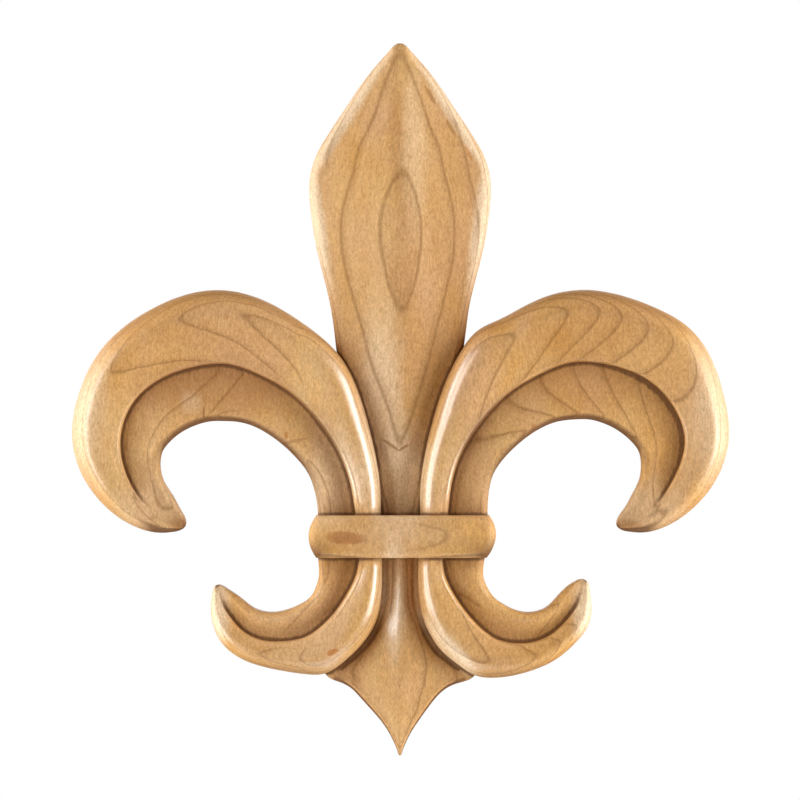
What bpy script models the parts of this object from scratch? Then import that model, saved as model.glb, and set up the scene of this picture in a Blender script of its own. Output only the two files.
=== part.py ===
# Carved wood fleur-de-lis applique, cut from one board: an upright blade, two upper leaves
# that curl down, a cross band, two lower leaves that curl up, and a tongue with a pointed foot.
# The flat back lies in the plane y = 0 and the carving faces -y. The origin is on the back,
# at the middle of the outline. Sizes are in millimetres and become metres in the meshes.
import math

import bmesh
import bpy
import numpy as np

NAME = "fleur_de_lis_applique"
MM = 0.001

# How finely the forms are cut: sections along a form, and steps across each of its parts.
SECTIONS = {"upper_leaf": 44, "lower_leaf": 27, "blade": 32, "tongue": 34, "band": 9}
ROUND_STEPS = 4
FACET_STEPS = 3
ARRIS_STEPS = 2
COVE_STEPS = 4
FLANK_STEPS = 4
TIP_STEPS = 3

# Every form runs on behind the back plane, each to a depth of its own, before it is cut flat.
OVERRUN = {"band": 2.4, "blade": 1.9, "tongue": 1.5, "upper_leaf": 1.0, "lower_leaf": 0.7}
BACK_CUT = 12.0
OUTLINE_REACH = 120.0

# A leaf has a raised roll along its outer side, a step down, and a hollow cove up to its rim.
# Stations: outer edge x and z, rim x and z, the roll's share of the width, crest height,
# depth of the step. The left leaves are listed, and the right ones mirror them.
UPPER_LEAF = (
    (-4.6, -33.1, -20.5, -33.1, 0.38, 16.2, 2.9),
    (-4.8, -28.1, -20.6, -26.9, 0.40, 16.2, 2.9),
    (-5.1, -20.1, -22.2, -20.1, 0.43, 16.2, 2.9),
    (-6.9, -10.1, -25.0, -15.6, 0.47, 16.1, 2.9),
    (-9.6, -0.1, -30.8, -10.1, 0.51, 16.0, 2.8),
    (-15.0, 10.8, -38.2, -6.1, 0.53, 15.8, 2.8),
    (-25.0, 19.6, -44.0, -5.4, 0.53, 15.7, 2.7),
    (-37.5, 26.1, -48.2, -5.6, 0.54, 15.6, 2.7),
    (-50.0, 27.0, -52.5, -7.0, 0.55, 15.5, 2.7),
    (-62.5, 22.4, -56.0, -9.1, 0.53, 15.3, 2.7),
    (-75.0, 12.1, -58.8, -11.9, 0.52, 15.0, 2.7),
    (-80.8, -0.1, -59.8, -14.1, 0.53, 14.7, 2.7),
    (-82.0, -8.9, -60.0, -16.4, 0.55, 14.4, 2.6),
    (-80.1, -17.6, -59.5, -19.4, 0.56, 13.9, 2.2),
    (-75.2, -25.2, -58.1, -22.1, 0.54, 13.2, 1.0),
    (-67.5, -31.2, -56.5, -24.6, 0.50, 12.3, 0.1),
    (-60.0, -33.3, -55.1, -27.2, 0.47, 11.4, 0.0),
    (-56.0, -33.0, -54.0, -29.1, 0.45, 10.6, 0.0),
)
LOWER_LEAF = (
    (-4.6, -36.1, -20.8, -36.1, 0.35, 15.8, 2.9),
    (-4.5, -43.1, -20.2, -42.6, 0.39, 15.8, 2.9),
    (-4.8, -50.1, -20.5, -45.4, 0.50, 15.7, 2.9),
    (-7.3, -58.1, -22.2, -49.1, 0.58, 15.5, 2.9),
    (-14.1, -65.6, -25.2, -51.3, 0.57, 15.2, 2.8),
    (-18.8, -68.5, -27.2, -52.2, 0.56, 15.0, 2.8),
    (-24.0, -68.6, -29.6, -52.9, 0.53, 14.8, 2.8),
    (-32.5, -67.2, -33.2, -53.1, 0.48, 14.3, 2.7),
    (-40.0, -64.6, -36.5, -52.1, 0.48, 13.6, 2.3),
    (-45.5, -59.4, -39.2, -50.1, 0.51, 12.8, 1.6),
    (-47.3, -52.6, -41.5, -48.4, 0.48, 11.8, 0.5),
    (-46.8, -48.1, -43.8, -46.9, 0.50, 10.8, 0.0),
)
CREST_INSET = 5.6
CREST_SHARE = 0.50
OUTER_DROP = 6.6
FACET_SLOPE = 0.19
FACET_CURVE = 1.4
ARRIS_RADIUS = 1.1
STEP_LEAN = 0.3
FULL_STEP = 2.7
COVE_RISE = 2.0
COVE_CURVE = 1.9
RIM_RADIUS = 1.5
LEAF_TIP_REACH = 2.8
LEAF_TIP_TURN = math.radians(80.0)
LEAF_TIP_STEPS = 4
TIP_DROP = 2.0
TIP_TURN = math.radians(74.0)

# Where a leaf gets narrow, its roundings are held to these shares of the roll, step and cove.
ARRIS_OF_ROLL = 0.25
ARRIS_OF_STEP = 0.50
RIM_OF_COVE = 0.30
NARROW_DROP = 0.8
NARROW_WIDTH = 10.0

# The blade is a low gable on the axis. Stations: z, half width, ridge height, ridge softness.
BLADE = (
    (-34.0, 7.0, 9.9, 0.8),
    (-28.9, 7.2, 10.1, 0.8),
    (-10.1, 9.2, 11.4, 1.0),
    (-0.1, 11.6, 12.1, 1.3),
    (4.9, 13.6, 12.5, 1.5),
    (9.9, 15.4, 12.9, 1.7),
    (14.9, 16.2, 13.2, 1.9),
    (24.9, 17.7, 13.9, 2.1),
    (34.9, 20.2, 14.5, 2.3),
    (44.9, 22.1, 14.6, 2.4),
    (51.1, 22.7, 14.3, 2.4),
    (57.4, 22.2, 13.8, 2.4),
    (62.4, 20.3, 13.5, 2.4),
    (67.4, 17.3, 13.0, 2.3),
    (74.9, 12.3, 12.4, 2.1),
    (82.4, 6.9, 11.8, 1.8),
    (87.4, 2.4, 11.4, 1.4),
)
BLADE_SLOPE = 0.24
BLADE_EDGE = 2.8
EDGE_OF_BLADE = 0.60
BLADE_TIP_REACH = 1.7

# The tongue is a narrow steep ridge that widens to the foot. Stations: z, ridge height,
# flank x and drop, valley x and height, half width.
TONGUE = (
    (-35.5, 10.3, 2.7, 1.4, 3.4, 8.5, 6.5),
    (-41.4, 10.4, 2.7, 1.4, 3.4, 8.5, 6.5),
    (-50.1, 10.7, 2.8, 1.5, 3.5, 8.5, 6.8),
    (-56.4, 10.9, 3.7, 1.5, 5.2, 8.4, 8.6),
    (-61.4, 11.0, 5.2, 1.4, 8.2, 8.2, 12.2),
    (-65.1, 11.0, 8.3, 2.0, 12.2, 7.7, 16.0),
    (-68.1, 10.9, 11.7, 2.6, 15.6, 7.2, 18.9),
    (-69.5, 10.8, 13.4, 3.0, 16.3, 7.0, 17.8),
    (-70.6, 10.8, 13.1, 2.9, 14.5, 6.9, 15.3),
    (-72.1, 10.6, 10.9, 2.3, 12.0, 7.0, 12.4),
    (-75.1, 10.3, 8.2, 1.6, 9.1, 7.4, 9.4),
    (-80.1, 9.8, 4.1, 0.9, 4.8, 7.5, 5.0),
    (-85.1, 9.2, 1.4, 0.5, 1.7, 7.6, 1.8),
    (-87.6, 8.8, 0.5, 0.3, 0.6, 7.6, 0.7),
)
RIDGE_SOFTNESS = 0.5
SOFTNESS_OF_FLANK = 0.30
VALLEY_EDGE = 0.3
FOOT_TIP_REACH = 1.5

# The cross band: ends at z, half length at its edges, bulge of its ends, crown height.
BAND_TOP = -28.9
BAND_BOTTOM = -39.5
BAND_HALF = 20.9
BAND_BULGE = 1.9
BAND_CROWN = 19.0
BAND_FALL = 0.9
BAND_EDGE = 1.2
BAND_END_RADIUS = 2.6

# Where the right side was cut a little off the left: centre x and z, reach, shift in x and z.
HAND_CUTS = (
    (72.0, 16.5, 15.0, 1.3, 1.4),
    (48.0, 2.0, 14.0, 0.0, 0.6),
    (70.5, -10.0, 9.0, 1.2, 0.0),
    (19.5, -30.0, 11.0, 1.4, 0.0),
    (18.0, 15.0, 7.0, 0.3, 2.2),
    (57.0, -26.0, 7.0, 1.3, 0.2),
    (45.0, -47.5, 6.0, 0.6, 1.1),
    (41.0, -46.5, 4.5, -0.4, 0.8),
    (48.0, -56.0, 5.0, 0.6, 0.0),
    (43.5, -61.5, 6.0, -0.4, 0.5),
    (23.0, -49.5, 6.0, 0.8, 0.2),
    (27.0, -68.0, 9.0, 0.0, -1.0),
    (10.5, -74.5, 6.0, -0.9, 0.0),
    (11.5, -62.6, 4.5, -0.7, 0.0),
)

AXIS_BLEND = 3.0

WOOD_COLOUR = (0.62, 0.40, 0.20, 1.0)
WOOD_ROUGHNESS = 0.45
SHARP_ANGLE = math.radians(35.0)


def smooth_rows(rows, distance, count):
    """Rows read at even distances from a natural cubic spline through the stations."""
    knots = np.asarray(rows, dtype=float)
    gaps = np.diff(distance)
    size = len(distance)
    system = np.eye(size)
    target = np.zeros_like(knots)
    for i in range(1, size - 1):
        system[i, i - 1] = gaps[i - 1]
        system[i, i] = 2.0 * (gaps[i - 1] + gaps[i])
        system[i, i + 1] = gaps[i]
        before = (knots[i] - knots[i - 1]) / gaps[i - 1]
        after = (knots[i + 1] - knots[i]) / gaps[i]
        target[i] = 6.0 * (after - before)
    bend = np.linalg.solve(system, target)
    places = np.linspace(distance[0], distance[-1], count)
    index = np.clip(np.searchsorted(distance, places) - 1, 0, size - 2)
    gap = gaps[index][:, None]
    ahead = (distance[index + 1] - places)[:, None]
    behind = (places - distance[index])[:, None]
    return (
        bend[index] * ahead**3 / (6.0 * gap)
        + bend[index + 1] * behind**3 / (6.0 * gap)
        + (knots[index] / gap - bend[index] * gap / 6.0) * ahead
        + (knots[index + 1] / gap - bend[index + 1] * gap / 6.0) * behind
    )


def quarter(centre, across, down, start, end, steps):
    """Points of an elliptical rounding between two angles, as distance and height."""
    turns = np.linspace(start, end, steps + 1)
    return [(centre[0] + across * math.cos(t), centre[1] + down * math.sin(t)) for t in turns]


def leaf_section(width, share, crest, step, overrun):
    """Profile across a leaf, from its outer edge over roll, step and cove to its rim."""
    step = max(0.0, step)
    roll = share * width
    inset = min(CREST_INSET, CREST_SHARE * roll)
    fall = FACET_SLOPE * (roll - inset)
    radius = min(ARRIS_RADIUS, ARRIS_OF_ROLL * roll)
    soften = min(radius, ARRIS_OF_STEP * step)
    arris = crest - fall
    cove = arris - step
    rim = cove + COVE_RISE * min(1.0, step / FULL_STEP)
    rim_radius = min(RIM_RADIUS, RIM_OF_COVE * (width - roll))
    drop = min(OUTER_DROP, inset * OUTER_DROP / CREST_INSET + NARROW_DROP)
    points = [(0.0, -overrun)]
    points += quarter((inset, crest - drop), inset, drop, math.pi, math.pi / 2.0, ROUND_STEPS)
    for i in range(1, FACET_STEPS + 1):
        v = i / FACET_STEPS
        points.append((inset + v * (roll - radius - inset), crest - fall * v**FACET_CURVE))
    points += quarter((roll - radius, arris - soften), radius, soften, math.pi / 2.0, 0.0, ARRIS_STEPS)[1:]
    start = roll + STEP_LEAN * min(1.0, width / NARROW_WIDTH)
    for i in range(COVE_STEPS + 1):
        v = i / COVE_STEPS
        points.append((start + v * (width - rim_radius - start), cove + (rim - cove) * v**COVE_CURVE))
    centre = (width - rim_radius, rim - rim_radius)
    points += quarter(centre, rim_radius, rim_radius, math.pi / 2.0, 0.0, ARRIS_STEPS)[1:]
    points.append((width, -overrun))
    return np.array(points)


def close_tip(rings, tops, reach):
    """Draws a form together to a point past its last section."""
    last = rings[-1]
    middle = (last[0] + last[-1]) / 2.0
    before = (rings[-2][0] + rings[-2][-1]) / 2.0
    ahead = middle - before
    ahead[1] = 0.0
    ahead /= np.linalg.norm(ahead)
    for i in range(1, TIP_STEPS + 1):
        turn = TIP_TURN * i / TIP_STEPS
        ring = last.copy()
        for axis in (0, 2):
            ring[:, axis] = middle[axis] + (last[:, axis] - middle[axis]) * math.cos(turn)
        ring += ahead * reach * math.sin(turn) ** 2
        ring[tops, 1] += TIP_DROP * (1.0 - math.cos(turn))
        rings.append(ring)
    return rings


def tip_corner(outer, rim):
    """Where the two edges of a leaf would meet beyond its last section, within the tip's reach."""
    ahead = [(side[-1] - side[-2]) / np.linalg.norm(side[-1] - side[-2]) for side in (outer, rim)]
    sides = np.column_stack([ahead[0], -ahead[1]])
    distance = np.linalg.solve(sides, rim[-1] - outer[-1])[0]
    middle = (outer[-1] + rim[-1]) / 2.0
    away = outer[-1] + ahead[0] * distance - middle
    return middle + away * min(1.0, LEAF_TIP_REACH / np.linalg.norm(away))


def tip_curve(start, corner, end, share):
    """A point of the round tip, from one edge of the leaf over to the other."""
    return start * (1.0 - share) ** 2 + corner * 2.0 * share * (1.0 - share) + end * share**2


def leaf_rings(rows, count, overrun):
    """Sections of one left leaf, as points x, y, z."""
    table = np.asarray(rows, dtype=float)
    middle = (table[:, 0:2] + table[:, 2:4]) / 2.0
    steps = np.linalg.norm(np.diff(middle, axis=0), axis=1)
    distance = np.concatenate([[0.0], np.cumsum(steps)])
    rows = smooth_rows(table, distance, count)
    outer = rows[:, 0:2]
    rim = rows[:, 2:4]
    rings = []
    for row in rows:
        width = float(np.linalg.norm(row[2:4] - row[0:2]))
        section = leaf_section(width, row[4], row[5], row[6], overrun)
        plan = row[0:2] + (row[2:4] - row[0:2]) * (section[:, 0:1] / width)
        rings.append(np.column_stack([plan[:, 0], -section[:, 1], plan[:, 1]]))
    corner = tip_corner(outer, rim)
    tops = slice(1, len(section) - 1)
    for i in range(1, LEAF_TIP_STEPS + 1):
        turn = LEAF_TIP_TURN * i / LEAF_TIP_STEPS
        share = 0.5 * math.sin(turn)
        first = tip_curve(outer[-1], corner, rim[-1], share)
        last = tip_curve(rim[-1], corner, outer[-1], share)
        plan = first + (last - first) * (section[:, 0:1] / width)
        ring = np.column_stack([plan[:, 0], -section[:, 1], plan[:, 1]])
        ring[tops, 1] += TIP_DROP * (1.0 - math.cos(turn))
        rings.append(ring)
    return rings


def mirrored(half):
    """A half section from its edge to the axis, carried on to the other side."""
    return np.array(half + [(-x, height) for x, height in reversed(half[:-1])])


def blade_rings(count, overrun):
    """Sections across the blade, from under the band up to the tip."""
    table = np.asarray(BLADE, dtype=float)
    rings = []
    for z, half, ridge, soft in smooth_rows(table, table[:, 0], count):
        edge = min(BLADE_EDGE, EDGE_OF_BLADE * half)
        inner = half - edge

        def gable(x):
            return ridge - BLADE_SLOPE * (math.hypot(x, soft) - soft)

        shoulder = gable(inner)
        points = [(-half, -overrun)]
        centre = (-inner, shoulder - edge)
        points += quarter(centre, edge, edge, math.pi, math.pi / 2.0, ROUND_STEPS)
        for i in range(1, FLANK_STEPS + 1):
            x = inner * (1.0 - i / FLANK_STEPS)
            points.append((-x, gable(x)))
        section = mirrored(points)
        rings.append(np.column_stack([section[:, 0], -section[:, 1], np.full(len(section), z)]))
    return close_tip(rings, slice(1, len(rings[0]) - 1), BLADE_TIP_REACH)


def tongue_rings(count, overrun):
    """Sections across the tongue, from under the band down to the foot."""
    table = np.asarray(TONGUE, dtype=float)
    steps = np.hypot(np.diff(table[:, 0]), np.diff(table[:, -1]))
    distance = np.concatenate([[0.0], np.cumsum(steps)])
    rings = []
    for z, ridge, flank, drop, valley, floor, half in smooth_rows(table, distance, count):
        points = [(-half, -overrun), (-half, floor - VALLEY_EDGE), (-(half + valley) / 2.0, floor)]
        points.append((-valley, floor))
        points.append((-(flank + valley) / 2.0, (ridge - drop + floor) / 2.0))
        for i in range(FLANK_STEPS + 1):
            x = flank * (1.0 - i / FLANK_STEPS)
            soft = min(RIDGE_SOFTNESS, SOFTNESS_OF_FLANK * flank)
            share = (math.hypot(x, soft) - soft) / (math.hypot(flank, soft) - soft)
            points.append((-x, ridge - drop * share))
        section = mirrored(points)
        rings.append(np.column_stack([section[:, 0], -section[:, 1], np.full(len(section), z)]))
    return close_tip(rings, slice(1, len(rings[0]) - 1), FOOT_TIP_REACH)


def band_rings(count, overrun):
    """Sections along the band, from its upper edge down to its lower edge."""
    middle = (BAND_TOP + BAND_BOTTOM) / 2.0
    reach = (BAND_TOP - BAND_BOTTOM) / 2.0
    places = []
    for t in np.linspace(0.0, math.pi / 2.0, ROUND_STEPS):
        places.append((reach - BAND_EDGE * (1.0 - math.sin(t)), BAND_EDGE * (1.0 - math.cos(t))))
    outer = [(z, fall) for z, fall in reversed(places)]
    core = [(z, 0.0) for z in np.linspace(reach - BAND_EDGE, BAND_EDGE - reach, count)[1:-1]]
    lower = [(-z, fall) for z, fall in places]
    rings = []
    for z, fall in outer + core + lower:
        part = z / reach
        half = BAND_HALF + BAND_BULGE * (1.0 - part * part)
        top = BAND_CROWN - BAND_FALL * part * part - fall
        centre = (-half + BAND_END_RADIUS, top - BAND_END_RADIUS)
        points = [(-half, -overrun)]
        points += quarter(centre, BAND_END_RADIUS, BAND_END_RADIUS, math.pi, math.pi / 2.0, ROUND_STEPS)
        points.append((0.0, top))
        section = mirrored(points)
        rings.append(np.column_stack([section[:, 0], -section[:, 1], np.full(len(section), middle + z)]))
    return rings


def make_form(name, rings, collection):
    """A closed loft through the rings, with both ends capped."""
    mesh = bpy.data.meshes.new(name)
    body = bmesh.new()
    loops = [[body.verts.new(point * MM) for point in ring] for ring in rings]
    size = len(loops[0])
    for first, second in zip(loops, loops[1:]):
        for i in range(size):
            j = (i + 1) % size
            body.faces.new((first[i], first[j], second[j], second[i]))
    body.faces.new(loops[0])
    body.faces.new(list(reversed(loops[-1])))
    bmesh.ops.recalc_face_normals(body, faces=body.faces)
    body.to_mesh(mesh)
    body.free()
    form = bpy.data.objects.new(name, mesh)
    collection.objects.link(form)
    return form


def mirror_rings(rings):
    """The same sections on the other side of the axis."""
    return [ring * np.array([-1.0, 1.0, 1.0]) for ring in rings]


def make_forms(collection):
    """All the forms that make up the carving, band first."""
    upper = leaf_rings(UPPER_LEAF, SECTIONS["upper_leaf"], OVERRUN["upper_leaf"])
    lower = leaf_rings(LOWER_LEAF, SECTIONS["lower_leaf"], OVERRUN["lower_leaf"])
    forms = {
        "band": band_rings(SECTIONS["band"], OVERRUN["band"]),
        "blade": blade_rings(SECTIONS["blade"], OVERRUN["blade"]),
        "tongue": tongue_rings(SECTIONS["tongue"], OVERRUN["tongue"]),
        "upper_leaf_left": upper,
        "upper_leaf_right": mirror_rings(upper),
        "lower_leaf_left": lower,
        "lower_leaf_right": mirror_rings(lower),
    }
    return [make_form(name, rings, collection) for name, rings in forms.items()]


def make_back_cutter(collection):
    """A box that takes off everything behind the back plane."""
    mesh = bpy.data.meshes.new("back_cut")
    body = bmesh.new()
    bmesh.ops.create_cube(body, size=1.0)
    for vert in body.verts:
        vert.co.x *= 2.0 * OUTLINE_REACH * MM
        vert.co.z *= 2.0 * OUTLINE_REACH * MM
        vert.co.y = (vert.co.y + 0.5) * BACK_CUT * MM
    body.to_mesh(mesh)
    body.free()
    cutter = bpy.data.objects.new("back_cut", mesh)
    collection.objects.link(cutter)
    return cutter


def wood_material():
    """Clear-finished pale hardwood."""
    material = bpy.data.materials.new("carved_wood")
    material.use_nodes = True
    shader = material.node_tree.nodes["Principled BSDF"]
    shader.inputs["Base Color"].default_value = WOOD_COLOUR
    shader.inputs["Roughness"].default_value = WOOD_ROUGHNESS
    shader.inputs["Metallic"].default_value = 0.0
    return material


def join_and_cut(carving, others, cutter):
    """Unites the forms and cuts the back flat."""
    for other in others:
        union = carving.modifiers.new("with_" + other.name, "BOOLEAN")
        union.operation = "UNION"
        union.solver = "EXACT"
        union.object = other
    cut = carving.modifiers.new("flat_back", "BOOLEAN")
    cut.operation = "DIFFERENCE"
    cut.solver = "EXACT"
    cut.object = cutter


def carve(carving):
    """Keeps the united carving as its own mesh, without the forms it was made from."""
    bpy.context.view_layer.update()
    evaluated = carving.evaluated_get(bpy.context.evaluated_depsgraph_get())
    mesh = bpy.data.meshes.new_from_object(evaluated)
    carving.modifiers.clear()
    carving.data = mesh
    mesh.name = NAME


def cut_by_hand(mesh):
    """Shifts what lies right of the axis by the small differences of the right side."""
    points = np.empty(len(mesh.vertices) * 3, dtype=np.float32)
    mesh.vertices.foreach_get("co", points)
    points = points.reshape(-1, 3).astype(float) / MM
    shift = np.zeros_like(points)
    for x, z, reach, along, up in HAND_CUTS:
        distance = np.hypot(points[:, 0] - x, points[:, 2] - z)
        weight = np.exp(-((distance / reach) ** 2))
        shift[:, 0] += weight * along
        shift[:, 2] += weight * up
    side = np.clip(points[:, 0:1] / AXIS_BLEND, 0.0, 1.0)
    mesh.vertices.foreach_set("co", ((points + shift * side) * MM).ravel())
    mesh.update()


def build():
    for old in list(bpy.data.objects):
        bpy.data.objects.remove(old)
    parts = bpy.data.collections.new(NAME)
    cutters = bpy.data.collections.new("carving_forms")
    bpy.context.scene.collection.children.link(parts)
    bpy.context.scene.collection.children.link(cutters)
    forms = make_forms(cutters)
    cutter = make_back_cutter(cutters)
    carving = forms[0]
    cutters.objects.unlink(carving)
    parts.objects.link(carving)
    carving.name = NAME
    for guide in forms[1:] + [cutter]:
        guide.hide_render = True
        guide.display_type = "WIRE"
    join_and_cut(carving, forms[1:], cutter)
    carve(carving)
    cut_by_hand(carving.data)
    carving.data.materials.clear()
    carving.data.materials.append(wood_material())
    carving.data.shade_smooth()
    carving.data.set_sharp_from_angle(angle=SHARP_ANGLE)


build()
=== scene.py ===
# Carved fleur-de-lis applique in pale hardwood: the fine carving, its satin finish and the studio.
# The forms repeat those of the solid, cut much finer. Sizes are in millimetres unless noted.
import math

import bmesh
import bpy
import numpy as np
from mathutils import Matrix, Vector
from mathutils.bvhtree import BVHTree
from mathutils.kdtree import KDTree


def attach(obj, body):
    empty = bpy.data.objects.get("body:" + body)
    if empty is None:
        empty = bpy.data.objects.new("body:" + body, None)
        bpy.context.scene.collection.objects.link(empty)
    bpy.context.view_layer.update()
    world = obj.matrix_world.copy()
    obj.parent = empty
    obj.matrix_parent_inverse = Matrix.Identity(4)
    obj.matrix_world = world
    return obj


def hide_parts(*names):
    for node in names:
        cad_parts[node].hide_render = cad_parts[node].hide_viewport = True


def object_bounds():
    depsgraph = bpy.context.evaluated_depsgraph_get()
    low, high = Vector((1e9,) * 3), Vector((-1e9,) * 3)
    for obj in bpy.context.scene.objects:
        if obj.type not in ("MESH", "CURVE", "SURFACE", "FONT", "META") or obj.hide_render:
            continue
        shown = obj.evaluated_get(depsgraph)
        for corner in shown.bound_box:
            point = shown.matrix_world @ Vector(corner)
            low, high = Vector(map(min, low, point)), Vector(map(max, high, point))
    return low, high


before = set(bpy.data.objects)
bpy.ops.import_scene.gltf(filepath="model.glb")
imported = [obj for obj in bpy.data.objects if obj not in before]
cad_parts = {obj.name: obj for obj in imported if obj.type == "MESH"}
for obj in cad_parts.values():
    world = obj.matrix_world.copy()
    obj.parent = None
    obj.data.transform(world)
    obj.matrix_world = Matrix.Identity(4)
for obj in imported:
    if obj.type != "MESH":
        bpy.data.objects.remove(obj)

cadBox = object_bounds()  # the solid's own box, before anything is added
mm = 0.001
cadNode = "fleur_de_lis_applique"


# Node trees written as sums

def sign(operation, swapped=False):
    # A sign between sockets or numbers, which adds its Math node.
    def between(one, other):
        return one.graph.maths(operation, *((other, one) if swapped else (one, other)))
    return between


class Value:
    # A socket that stands in an expression.
    def __init__(self, graph, socket):
        self.graph = graph
        self.socket = socket

    def __neg__(self):
        return self.graph.maths("MULTIPLY", self, -1.0)

    __add__ = sign("ADD")
    __radd__ = sign("ADD", swapped=True)
    __sub__ = sign("SUBTRACT")
    __rsub__ = sign("SUBTRACT", swapped=True)
    __mul__ = sign("MULTIPLY")
    __rmul__ = sign("MULTIPLY", swapped=True)
    __truediv__ = sign("DIVIDE")
    __rtruediv__ = sign("DIVIDE", swapped=True)
    __pow__ = sign("POWER")
    __gt__ = sign("GREATER_THAN")
    __lt__ = sign("LESS_THAN")


class Graph:
    # A node tree, filled by one method that takes a node's type, settings and inputs.
    def __init__(self, tree):
        self.tree = tree

    def node(self, kind, settings=None, inputs=None, out=0):
        made = self.tree.nodes.new(kind)
        for name, value in (settings or {}).items():
            setattr(made, name, value)
        for key, value in (inputs or {}).items():
            if isinstance(value, Value):
                self.tree.links.new(value.socket, made.inputs[key])
            else:
                made.inputs[key].default_value = value
        return Value(self, made.outputs[out]) if made.outputs else made

    def maths(self, operation, *terms):
        return self.node("ShaderNodeMath", {"operation": operation}, dict(enumerate(terms)))

    def vectors(self, operation, *terms, out=0):
        return self.node("ShaderNodeVectorMath", {"operation": operation}, dict(enumerate(terms)), out)

    def scaled(self, vector, factor):
        return self.node("ShaderNodeVectorMath", {"operation": "SCALE"}, {0: vector, "Scale": factor})

    def combine(self, x, y, z):
        return self.node("ShaderNodeCombineXYZ", {}, {0: x, 1: y, 2: z})

    def split(self, vector):
        first = self.node("ShaderNodeSeparateXYZ", {}, {0: vector})
        return [Value(self, first.socket.node.outputs[i]) for i in range(3)]

    def smooth(self, value, low, high):
        # 0 below low and 1 above high, eased between; low may be the larger of the two.
        return self.node("ShaderNodeMapRange", {"interpolation_type": "SMOOTHSTEP"},
                         {"Value": value, "From Min": low, "From Max": high})

    def clamp(self, value):
        return self.node("ShaderNodeClamp", {}, {0: value})

    def noise(self, place, scale, detail=2.0, roughness=0.5, dimensions="3D"):
        # Even noise about 0, between -0.5 and 0.5.
        inputs = {"Scale": scale, "Detail": detail, "Roughness": roughness}
        inputs["W" if dimensions == "1D" else "Vector"] = place
        return self.node("ShaderNodeTexNoise", {"noise_dimensions": dimensions}, inputs) - 0.5

    def blend(self, factor, first, second):
        return self.node("ShaderNodeMix", {"data_type": "RGBA"}, {0: factor, 6: first, 7: second}, out=2)

    def opening(self, name, kind, side="INPUT"):
        # A named socket of a geometry tree.
        self.tree.interface.new_socket(name, in_out=side, socket_type="NodeSocket" + kind)


def colour(red, green, blue):
    # Screen values out of 255, as linear light for a socket.
    shares = [part / 255.0 for part in (red, green, blue)]
    light = [s / 12.92 if s <= 0.04045 else ((s + 0.055) / 1.055) ** 2.4 for s in shares]
    return (*light, 1.0)


def addObject(name, data):
    thing = bpy.data.objects.new(name, data)
    bpy.context.scene.collection.objects.link(thing)
    return thing


def beginTree(name, sizes):
    # A geometry tree with a named input for each size.
    g = Graph(bpy.data.node_groups.new(name, "GeometryNodeTree"))
    g.opening("Geometry", "Geometry")
    for size in sizes:
        g.opening(size, "Float")
    g.opening("Wood", "Material")
    g.opening("Geometry", "Geometry", "OUTPUT")
    entry = g.tree.nodes.new("NodeGroupInput")
    return g, entry, {size: Value(g, entry.outputs[size]) for size in sizes}


def endTree(g, shape, entry):
    # Ends a geometry tree with real faces in the wood it is given.
    real = g.node("GeometryNodeRealizeInstances", {}, {0: shape})
    wood = Value(g, entry.outputs["Wood"])
    dressed = g.node("GeometryNodeSetMaterial", {}, {"Geometry": real, "Material": wood})
    g.node("NodeGroupOutput", {}, {0: dressed})
    return g.tree


def runTree(thing, tree, values):
    # Puts a geometry tree on an object, sets its named inputs and keeps the plain mesh it makes.
    modifier = thing.modifiers.new(tree.name, "NODES")
    modifier.node_group = tree
    for item in tree.interface.items_tree:
        if item.in_out == "INPUT" and item.name in values:
            modifier[item.identifier] = values[item.name]
    keepEvaluated(thing)


def keepEvaluated(thing):
    bpy.context.view_layer.update()
    shape = thing.evaluated_get(bpy.context.evaluated_depsgraph_get())
    mesh = bpy.data.meshes.new_from_object(shape)
    thing.modifiers.clear()
    thing.data = mesh


def readPoints(mesh):
    points = np.empty(len(mesh.vertices) * 3, dtype=np.float32)
    mesh.vertices.foreach_get("co", points)
    return points.reshape(-1, 3).astype(float) / mm


def writePoints(mesh, points):
    mesh.vertices.foreach_set("co", (points * mm).ravel())
    mesh.update()


def storeValue(mesh, name, values):
    made = mesh.attributes.new(name, "FLOAT", "POINT")
    made.data.foreach_set("value", np.asarray(values, dtype=np.float32))


# The leaves, each swept along two rails

# Stations: outer edge x and z, rim x and z, the roll's share of the width, crest height, step.
upperLeaf = (
    (-4.6, -33.1, -20.5, -33.1, 0.38, 16.2, 2.9),
    (-4.8, -28.1, -20.6, -26.9, 0.40, 16.2, 2.9),
    (-5.1, -20.1, -22.2, -20.1, 0.43, 16.2, 2.9),
    (-6.9, -10.1, -25.0, -15.6, 0.47, 16.1, 2.9),
    (-9.6, -0.1, -30.8, -10.1, 0.51, 16.0, 2.8),
    (-15.0, 10.8, -38.2, -6.1, 0.53, 15.8, 2.8),
    (-25.0, 19.6, -44.0, -5.4, 0.53, 15.7, 2.7),
    (-37.5, 26.1, -48.2, -5.6, 0.54, 15.6, 2.7),
    (-50.0, 27.0, -52.5, -7.0, 0.55, 15.5, 2.7),
    (-62.5, 22.4, -56.0, -9.1, 0.53, 15.3, 2.7),
    (-75.0, 12.1, -58.8, -11.9, 0.52, 15.0, 2.7),
    (-80.8, -0.1, -59.8, -14.1, 0.53, 14.7, 2.7),
    (-82.0, -8.9, -60.0, -16.4, 0.55, 14.4, 2.6),
    (-80.1, -17.6, -59.5, -19.4, 0.56, 13.9, 2.2),
    (-75.2, -25.2, -58.1, -22.1, 0.54, 13.2, 1.0),
    (-67.5, -31.2, -56.5, -24.6, 0.50, 12.3, 0.1),
    (-60.0, -33.3, -55.1, -27.2, 0.47, 11.4, 0.0),
    (-56.0, -33.0, -54.0, -29.1, 0.45, 10.6, 0.0),
)
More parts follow.
